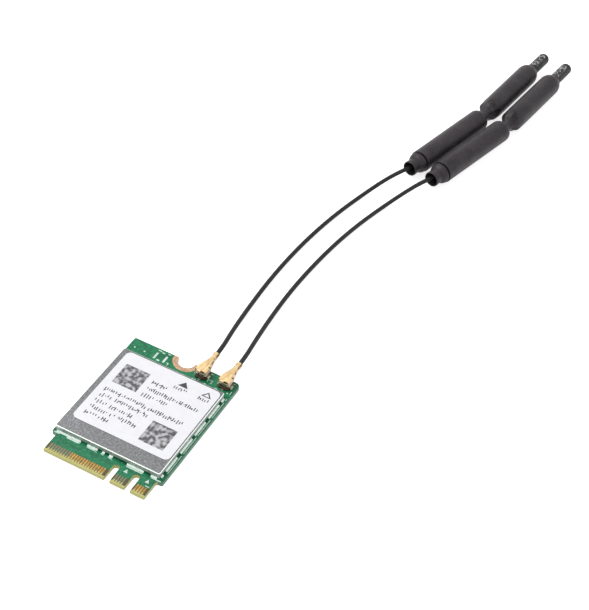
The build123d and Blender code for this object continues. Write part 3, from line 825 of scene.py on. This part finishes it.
@dataclass
class LabelPrint:
    """Print on the label: rows of strokes that spell nothing, two mottled squares and two port triangles.

    A row is the Y of its middle and the X limits of its words. A cut is the share of a row's
    height by which a tick stops short of the row's foot or head.
    """

    lift: float = 0.006
    stroke: float = 0.18
    pitch: float = 0.42
    shift: float = 0.05
    row_height: float = 1.0
    caption_height: float = 0.75
    foot_cuts: Point = (0.0, 0.2, 0.45)
    head_cuts: Point = (0.0, 0.15, 0.35)
    link_levels: Pair = (-0.3, 0.2)
    link_share: float = 0.35
    rows: Rows = (
        (-8.75, ((-1.9, 1.1),)),
        (-10.35, ((-1.9, 8.2),)),
        (-11.95, ((-1.9, 0.3), (1.0, 3.0))),
        (-14.25, ((-8.1, 0.3), (0.9, 7.6))),
        (-15.7, ((-8.1, -5.9), (-5.0, 1.6))),
        (-17.25, ((-8.1, -5.8), (-5.0, -0.6))),
        (-18.75, ((-8.1, -4.6), (-4.0, -3.1), (-2.4, 1.1))),
        (-20.3, ((-8.1, -5.9), (-5.3, -3.5))),
    )
    captions: Rows = ((-7.55, ((1.9, 4.4), (6.8, 8.7))),)
    squares: tuple[Pair, ...] = ((-8.0, -7.3), (3.0, -16.05))
    square_side: float = 4.9
    triangle_width: float = 1.95
    triangle_height: float = 1.25
    triangle_line: float = 0.18
    solid_apex: Pair = (3.2, -5.65)
    open_apex: Pair = (7.85, -5.6)
    seed: int = 7

    def strokes(self, rng: np.random.Generator, y: float, height: float, x0: float, x1: float) -> np.ndarray:
        """Ticks of one word: upright ticks of random height, some linked to the next at a random level.

        Args:
            rng: source of chance.
            y: middle of the row.
            height: full height of the row.
            x0: where the word starts.
            x1: where it ends.

        Returns:
            Oblongs as (patch, corner, xy).
        """
        count = max(2, round((x1 - x0) / self.pitch))
        left = np.linspace(x0, x1 - self.stroke, count) + rng.uniform(-self.shift, self.shift, count)
        low = y - height / 2 + rng.choice(self.foot_cuts, count) * height
        high = y + height / 2 - rng.choice(self.head_cuts, count) * height
        ticks = oblongs(left, left + self.stroke, low, high)
        level = y + rng.uniform(*self.link_levels, count - 1) * height
        links = oblongs(left[:-1] + self.stroke, left[1:], level, level + self.stroke)
        return np.concatenate([ticks, links[rng.random(count - 1) < self.link_share]])

    def square(self, x: float, y: float) -> np.ndarray:
        """Corners of one mottled square, from its left rear corner."""
        side = self.square_side
        return np.array([(x, y - side), (x + side, y - side), (x + side, y), (x, y)])

    def triangle(self, x: float, y: float) -> np.ndarray:
        """Corners of a triangle that stands on its base, from its apex anticlockwise."""
        half, foot = self.triangle_width / 2, y - self.triangle_height
        return np.array([(x, y), (x - half, foot), (x + half, foot)])

    def outlined(self, outer: np.ndarray) -> np.ndarray:
        """One patch for each side of an open triangle, whose middle is a third of its height up.

        Args:
            outer: corners of the triangle.

        Returns:
            Patches as (patch, corner, xy).
        """
        middle = outer.mean(axis=0)
        inset = 1 - 3 * self.triangle_line / self.triangle_height
        inner = middle + (outer - middle) * inset
        return np.stack([outer, np.roll(outer, -1, 0), np.roll(inner, -1, 0), inner], axis=1)

    def build(self, label: Box) -> None:
        """Prints the label.

        Args:
            label: lowest and highest corner of the label, in metres.
        """
        rng = np.random.default_rng(self.seed)
        top = label[1].z / MM + self.lift
        patches = []
        for rows, height in ((self.rows, self.row_height), (self.captions, self.caption_height)):
            patches += [self.strokes(rng, y, height, *word) for y, words in rows for word in words]
        patches += [self.outlined(self.triangle(*self.open_apex)), self.triangle(*self.solid_apex)]
        Finish.INK.add(flat_patches("label_print", patches, top), "label_paper")
        fields = [self.square(*corner) for corner in self.squares]
        Finish.SQUARE_INK.add(flat_patches("label_squares", fields, top), "label_paper")


@dataclass
class BoardPrint:
    """Pale print and bare pads on the board's top: outlines, dots, the pads of the can's feet and key marks.

    A bar and a pad are given by their limits in X and in Y. A pad runs to a point at each end.
    """

    lift: float = 0.006
    bars: tuple[Oblong, ...] = (
        (-5.7, -5.3, -2.65, -1.05), (-3.75, -3.35, -2.65, -1.05),
        (-5.75, -5.0, -0.55, -0.35), (-4.85, -4.3, -0.75, -0.5),
        (-4.9, -4.3, -2.8, -2.45), (-3.75, -3.2, -0.5, -0.3),
        (5.0, 5.7, -0.58, -0.4), (9.54, 10.17, -0.62, -0.44),
        (5.42, 5.56, -2.45, -1.85), (5.56, 6.4, -1.96, -1.82),
        (6.26, 6.4, -2.7, -1.96), (5.28, 5.64, -3.2, -3.05),
        (2.77, 3.11, -3.24, -3.08), (3.26, 3.55, -3.2, -3.08),
        (7.4, 8.0, -3.2, -3.04), (9.8, 10.16, -3.1, -2.9),
        (10.42, 10.56, -3.1, -2.35), (8.85, 9.6, -27.88, -27.72),
        (-2.95, -2.5, -2.45, -2.3), (-2.65, -2.5, -2.9, -2.45),
    )
    pads: tuple[Oblong, ...] = (
        (-10.75, -9.35, -25.96, -25.72), (-8.15, -5.4, -26.05, -25.76),
        (-4.1, -2.15, -26.0, -25.74), (3.75, 7.2, -26.05, -25.78),
        (8.6, 10.75, -25.96, -25.7),
    )
    pad_point: float = 0.3
    patches: tuple[tuple[Pair, ...], ...] = (
        ((-1.2, -25.95), (-0.5, -26.02), (-1.1, -25.5)),
        ((0.25, -25.98), (1.2, -26.06), (0.3, -25.4)),
        ((-2.5, -25.72), (-2.3, -25.98), (-1.75, -26.14)),
        ((4.1, -27.2), (4.9, -27.2), (4.5, -26.4)),
        ((8.3, -27.2), (9.1, -27.2), (8.7, -26.4)),
    )
    dots: tuple[Pair, ...] = ((-9.8, -2.05), (-7.75, -2.05))
    dot_radius: float = 0.17
    dot_corners: int = 20
    strip_x: Pair = (10.54, 10.72)
    strip_breaks: tuple[float, ...] = (-4.0, -5.0, -9.6, -14.3, -19.0, -24.0)
    strip_gap: float = 0.5

    def strip(self) -> np.ndarray:
        """Broken line along the board's right side, as (patch, corner, xy)."""
        breaks, half_gap = np.array(self.strip_breaks), self.strip_gap / 2
        left, right = (np.full(len(breaks) - 1, x) for x in self.strip_x)
        return oblongs(left, right, breaks[1:] + half_gap, breaks[:-1] - half_gap)

    def pad(self, x0: float, x1: float, y0: float, y1: float) -> np.ndarray:
        """Corners of a pad, anticlockwise from its left point."""
        middle, left, right = (y0 + y1) / 2, x0 + self.pad_point, x1 - self.pad_point
        return np.array([(x0, middle), (left, y0), (right, y0), (x1, middle), (right, y1), (left, y1)])

    def build(self, board: Box) -> None:
        """Prints the board.

        Args:
            board: lowest and highest corner of the board, in metres.
        """
        angle = np.linspace(0, 2 * math.pi, self.dot_corners, endpoint=False)
        circle = self.dot_radius * np.column_stack([np.cos(angle), np.sin(angle)])
        patches = [oblongs(*np.array(self.bars).T), self.strip()]
        patches += [self.pad(*limits) for limits in self.pads]
        patches += [np.array(corners) for corners in self.patches]
        patches += [circle + np.array(place) for place in self.dots]
        top = board[1].z / MM + self.lift
        Finish.SILK.add(flat_patches("board_print", patches, top), "board_mask")


# Cables and antennas


@dataclass
class Cable:
    """Coaxial cable from its plug's crimp to the core in its antenna, on one smooth curve."""

    name: str
    start: Point
    middle: tuple[Point, ...]
    end: Point
    length: float
    diameter: float = 0.87
    steps: int = 16
    round_steps: int = 6

    def build(self) -> None:
        """Makes the cable in place of its plain tube."""
        points = np.array([self.start, *self.middle, self.end]) * MM
        curve = bpy.data.curves.new(self.name, "CURVE")
        curve.dimensions = "3D"
        spline = curve.splines.new("NURBS")
        spline.points.add(len(points) - 1)
        spline.points.foreach_set("co", np.column_stack([points, np.ones(len(points))]).ravel())
        spline.order_u = 3
        spline.use_endpoint_u = True
        curve.resolution_u = self.steps
        curve.bevel_depth = self.diameter / 2 * MM
        curve.bevel_resolution = self.round_steps
        curve.use_fill_caps = True
        piece = linked(self.name, curve)
        Finish.CABLE.add(piece, "cable_jacket")
        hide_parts(f"coax_{self.name.split('_')[0]}")


@dataclass(frozen=True)
class SleeveSizes:
    """Stations along an antenna's axis from its mouth, and radii there."""

    axis_height: float = 2.35
    collar_radius: float = 1.55
    mouth_flare: float = 0.08
    collar_end: float = 1.75
    shoulder_end: float = 3.08
    shoulder_radius: float = 2.2
    groove: float = 3.28
    groove_radius: float = 1.86
    body_start: float = 3.5
    body_radius: float = 2.35
    lower_end: float = 23.27
    neck_start: float = 24.77
    neck: float = 25.09
    neck_end: float = 26.49
    neck_radius: float = 1.27
    neck_bend_radius: float = 4.5
    upper_start: float = 28.24
    upper_end: float = 44.69
    root: float = 47.19
    root_radius: float = 1.4
    wall: float = 0.2
    lip_share: float = 0.25
    tail_start: float = 44.99
    tail_tip: float = 53.89
    tail_radius: float = 1.29
    tail_rounding: float = 0.9


@dataclass
class Antenna:
    """One antenna: a heat-shrunk sleeve over two sections with a bent neck, and a thin tail."""

    name: str
    mouth: Pair
    heading: float
    tip_heading: float
    seed: int
    sizes: SleeveSizes = SleeveSizes()
    around: int = 72
    station_step: float = 0.16
    ring_step: float = 0.04
    body_dent: float = 0.022
    body_lobes: tuple[int, ...] = (2, 3)
    body_twist: float = 0.3
    neck_dent: float = 0.36
    neck_lobes: tuple[int, ...] = (4, 6, 9)
    neck_twist: float = 1.6
    crease_station: float = 27.2
    crease_reach: float = 1.4
    tail_rings: int = 40
    tip_rings: int = 12

    def turned(self, angle: float) -> np.ndarray:
        """Level direction that stands so many degrees from +Y towards +X."""
        return np.array([math.sin(math.radians(angle)), math.cos(math.radians(angle)), 0.0])

    def axis(self, station: np.ndarray) -> tuple[np.ndarray, np.ndarray]:
        """Points of the axis and the level directions across it.

        The axis is straight up to the neck, turns on an arc there and is straight again. On the
        arc the heading falls in step with the station, and the point moves along the mean of the
        first heading and the one reached.

        Args:
            station: distances from the mouth in millimetres.

        Returns:
            Points and directions across, one row for each station.
        """
        turn = math.radians(self.heading - self.tip_heading)
        reach = self.sizes.neck_bend_radius * math.tan(turn / 2)
        share = np.clip((station - self.sizes.neck + reach) / (2 * reach), 0, 1)
        angle = math.radians(self.heading) - share * turn
        before = np.minimum(station, self.sizes.neck - reach)
        after = np.maximum(station - self.sizes.neck - reach, 0)
        chord = 2 * self.sizes.neck_bend_radius * np.sin(share * turn / 2)
        mean = math.radians(self.heading) - share * turn / 2
        first, last = self.turned(self.heading), self.turned(self.tip_heading)
        level = before[:, None] * first + after[:, None] * last
        level += chord[:, None] * np.column_stack([np.sin(mean), np.cos(mean), np.zeros_like(mean)])
        origin = np.array([*self.mouth, self.sizes.axis_height])
        across = np.column_stack([np.cos(angle), -np.sin(angle), np.zeros_like(angle)])
        return origin + level, across

    def angles(self) -> np.ndarray:
        """Angles of the points on a ring."""
        return np.linspace(0, 2 * math.pi, self.around, endpoint=False)

    def sweep(self, station: np.ndarray, radius: np.ndarray) -> np.ndarray:
        """Rings round the axis: axis + r (across cos a + up sin a), with r by station and angle a.

        Args:
            station: station of each ring.
            radius: radius of each ring, by (ring, point) or by ring alone.

        Returns:
            Points as (ring, point, xyz).
        """
        angle = self.angles()
        points, across = self.axis(station)
        wide = np.broadcast_to(radius.reshape(len(station), -1), (len(station), self.around))
        out = np.cos(angle)[None, :, None] * across[:, None, :]
        out = out + np.sin(angle)[None, :, None] * np.array([0.0, 0.0, 1.0])
        return points[:, None, :] + wide[:, :, None] * out

    def outline(self, s: np.ndarray) -> np.ndarray:
        """Outer radius: straight collar, dome, groove, section, neck and section, each end domed.

        Args:
            s: stations.

        Returns:
            Radii by station.
        """
        z = self.sizes
        collar = z.collar_radius + z.mouth_flare * (1 - np.clip(s / z.collar_end, 0, 1))
        shoulder = dome(s, z.shoulder_end, z.shoulder_radius, z.collar_end, z.collar_radius)
        groove = np.interp(s, (z.shoulder_end, z.groove, z.body_start),
                           (z.shoulder_radius, z.groove_radius, z.body_radius))
        lower = dome(s, z.lower_end, z.body_radius, z.neck_start, z.neck_radius)
        upper = dome(s, z.upper_start, z.body_radius, z.neck_end, z.neck_radius)
        end = dome(s, z.upper_end, z.body_radius, z.root, z.root_radius)
        stretches = (
            (z.collar_end, collar), (z.shoulder_end, shoulder), (z.body_start, groove),
            (z.lower_end, z.body_radius), (z.neck_start, lower), (z.neck_end, z.neck_radius),
            (z.upper_start, upper), (z.upper_end, z.body_radius),
        )
        return np.select([s < limit for limit, _ in stretches], [radius for _, radius in stretches], end)

    def stations(self) -> np.ndarray:
        """Stations of the sleeve's rings, closer together from the collar's end to the groove."""
        z = self.sizes
        regular = np.arange(0, z.root, self.station_step)
        close = np.arange(z.collar_end, z.body_start + 2 * self.ring_step, self.ring_step)
        return np.unique(np.concatenate([regular, close, [z.root]]))

    def dents(self, s: np.ndarray) -> np.ndarray:
        """Depth of the sleeve's dents: broad waves on the body, close pleats that fade away past the neck.

        Each wave is (1 + sin(k a + c s + phase)) / 2, so the depth never falls below nought.

        Args:
            s: stations.

        Returns:
            Depths by (station, angle).
        """
        rng = np.random.default_rng(self.seed)
        angle, along = self.angles()[None, :], s[:, None]
        near = np.exp(-(((along - self.crease_station) / self.crease_reach) ** 2))
        body = (self.body_lobes, self.body_dent, self.body_twist, 0.0)
        neck = (self.neck_lobes, self.neck_dent * near, self.neck_twist, self.crease_station)
        depth = np.zeros((len(s), self.around))
        for lobe_counts, dent, most_twist, origin in (body, neck):
            for lobes in lobe_counts:
                twist, phase = rng.uniform(-most_twist, most_twist), rng.uniform(0, 2 * math.pi)
                wave = 0.5 + 0.5 * np.sin(lobes * angle + twist * (along - origin) + phase)
                depth += dent / len(lobe_counts) * wave
        return depth

    def build_sleeve(self) -> None:
        """Makes the sleeve as one closed wall: out along its outside and back along its inside."""
        z = self.sizes
        out_s = self.stations()
        outer = self.outline(out_s)[:, None] - self.dents(out_s)
        inner = outer - z.wall
        outer[[0, -1]] -= z.wall * z.lip_share
        inner[[0, -1]] += z.wall * z.lip_share
        rings = np.concatenate([self.sweep(out_s, outer), self.sweep(out_s[::-1], inner[::-1])])
        along = np.concatenate([out_s, out_s[::-1]]) * MM
        piece = ring_surface(f"{self.name}_antenna_sleeve", rings, along, closed=True)
        Finish.SLEEVE.add(piece, "heat_shrink")
        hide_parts(f"antenna_{self.name}_sleeve")

    def build_tail(self) -> None:
        """Makes the tail: a straight tube with a quarter-round end, closed at both ends."""
        z = self.sizes
        straight = np.linspace(z.tail_start, z.tail_tip - z.tail_rounding, self.tail_rings)
        turn = np.linspace(0, math.pi / 2, self.tip_rings)[1:]
        tip_s = z.tail_tip - z.tail_rounding + z.tail_rounding * np.sin(turn)
        tip_r = z.tail_radius - z.tail_rounding + z.tail_rounding * np.cos(turn)
        s = np.concatenate([[z.tail_start], straight, tip_s, [z.tail_tip]])
        r = np.concatenate([[0.0], np.full(len(straight), z.tail_radius), tip_r, [0.0]])
        piece = ring_surface(f"{self.name}_antenna_tail", self.sweep(s, r), s * MM, closed=False)
        Finish.TAIL.add(piece, "tail_sleeve")
        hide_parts(f"antenna_{self.name}_tail")

    def cable_seat(self) -> Point:
        """Where the cable ends on the core, at the inner end of the collar."""
        points, _ = self.axis(np.array([self.sizes.collar_end]))
        return tuple(points[0].tolist())


@dataclass
class Harness:
    """The two antennas and the cables that lead to them, each by way of listed points."""

    socket_x: dict[str, float] = field(default_factory=lambda: {"main": 4.05, "aux": 8.75})
    crimp_y: float = 1.9
    crimp_z: float = 1.7
    lengths: dict[str, float] = field(default_factory=lambda: {"main": 70.7, "aux": 70.0})
    routes: dict[str, tuple[Point, ...]] = field(default_factory=lambda: {
        "main": (
            (4.05, 5.2, 1.7), (3.15, 10.6, 1.1), (2.4, 17.2, 0.46), (2.0, 26.0, 0.44),
            (2.15, 34.5, 0.44), (2.85, 43.0, 0.44), (4.1, 51.2, 0.44), (5.9, 58.6, 0.6),
            (8.0, 64.0, 1.55), (9.95, 67.5, 2.3),
        ),
        "aux": (
            (8.75, 5.0, 1.7), (8.0, 10.2, 1.15), (7.2, 16.8, 0.46), (6.85, 25.2, 0.44),
            (7.1, 33.4, 0.44), (7.85, 42.0, 0.44), (9.15, 50.0, 0.44), (11.0, 57.4, 0.55),
            (13.1, 62.8, 1.4), (15.05, 66.7, 2.25),
        ),
    })
    antennas: tuple[Antenna, ...] = (
        Antenna("main", (11.09, 69.05), 13.3, 6.4, seed=11),
        Antenna("aux", (16.33, 68.35), 14.0, 6.8, seed=23),
    )

    def build(self) -> None:
        """Makes each antenna and its cable."""
        for antenna in self.antennas:
            port = antenna.name
            antenna.build_sleeve()
            antenna.build_tail()
            start = (self.socket_x[port], self.crimp_y, self.crimp_z)
            cable = Cable(f"{port}_cable", start, self.routes[port], antenna.cable_seat(), self.lengths[port])
            cable.build()


# Studio


@dataclass(frozen=True)
class PhotoCamera:
    """Camera at the photograph's view, given by the point that it aims at and where it stands round it."""

    azimuth: float = 25.008
    elevation: float = 44.267
    roll: float = 5.008
    distance: float = 280.918
    aim: Pair = (9.073, 23.486)
    focal_pixels: float = 1500.905
    frame_height: int = 610
    sensor: float = 36.0
    clip_metres: Pair = (0.01, 10.0)

    def build(self) -> None:
        """Makes the camera and sets it as the scene's."""
        az, el, roll = (math.radians(a) for a in (self.azimuth, self.elevation, self.roll))
        back = Vector((math.sin(az) * math.cos(el), -math.cos(az) * math.cos(el), math.sin(el)))
        level = Vector((math.cos(az), math.sin(az), 0))
        raised = back.cross(level)
        right = math.cos(roll) * level + math.sin(roll) * raised
        up = math.cos(roll) * raised - math.sin(roll) * level
        data = bpy.data.cameras.new("photo_camera")
        data.sensor_width = self.sensor
        data.lens = self.sensor * self.focal_pixels / self.frame_height
        data.clip_start, data.clip_end = self.clip_metres
        camera = linked("photo_camera", data)
        place = Vector((*self.aim, 0)) * MM + back * self.distance * MM
        turn = Matrix((right, up, back)).transposed().to_4x4()
        camera.matrix_world = Matrix.Translation(place) @ turn
        bpy.context.scene.camera = camera


@dataclass(frozen=True)
class Studio:
    """White floor, even sky and two soft lamps, each given by name, place, side and watts."""

    sky: float = 0.43
    floor_half: float = 900.0
    floor_drop: float = 0.02
    floor_tone: float = 0.8
    floor_glow: float = 0.78
    lamps: tuple[tuple[str, Point, float, float], ...] = (
        ("key_lamp", (-330, 10, 465), 400.0, 2.35),
        ("fill_lamp", (430, -90, 300), 450.0, 0.3),
    )
    target: Point = (9, 24, 0)

    def build(self) -> None:
        """Makes the world, the floor and the lamps."""
        bpy.context.scene.view_settings.view_transform = "Standard"
        self.build_world()
        self.build_floor()
        for lamp in self.lamps:
            self.build_lamp(*lamp)

    def build_world(self) -> None:
        """Sky that lights evenly and shows white."""
        world = bpy.data.worlds.new("even_sky")
        bpy.context.scene.world = world
        graph = Graph(world, "Background")
        graph.shade(Color=WHITE, Strength=graph.span(graph.seen(), 0, 1, self.sky, 1))

    def build_floor(self) -> None:
        """Pale floor just under the part, which keeps a faint shadow."""
        half = self.floor_half
        corners = np.array([(-half, -half), (half, -half), (half, half), (-half, half)])
        floor = flat_patches("floor", [corners], -self.floor_drop)
        material = bpy.data.materials.new("pale_floor")
        graph = Graph(material, "Principled BSDF")
        graph.shade(
            Base_Color=(self.floor_tone, self.floor_tone, self.floor_tone, 1),
            Roughness=1.0,
            Specular_IOR_Level=0.0,
            Emission_Color=WHITE,
            Emission_Strength=graph.math("MULTIPLY", graph.seen(), self.floor_glow),
        )
        floor.data.materials.append(material)

    def build_lamp(self, name: str, place: Point, size: float, power: float) -> None:
        """Square soft lamp that faces the target.

        Args:
            name: name of the lamp.
            place: where it hangs, in millimetres.
            size: length of its side in millimetres.
            power: its power in watts.
        """
        data = bpy.data.lights.new(name, "AREA")
        data.size = size * MM
        data.energy = power
        lamp = linked(name, data)
        lamp.location = Vector(place) * MM
        aim = (Vector(self.target) - Vector(place)).to_track_quat("-Z", "Y")
        lamp.rotation_euler = aim.to_euler()


def main() -> None:
    """Loads the part, dresses it and makes the pieces and the studio."""
    logging.basicConfig(level=logging.INFO, format="%(name)s: %(message)s")
    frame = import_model()
    PhotoCamera().build()
    Studio().build()
    Card().build(frame["nodes"])
    LabelPrint().build(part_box("label"))
    BoardPrint().build(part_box("circuit_board"))
    Harness().build()


if __name__ == "__main__":
    main()
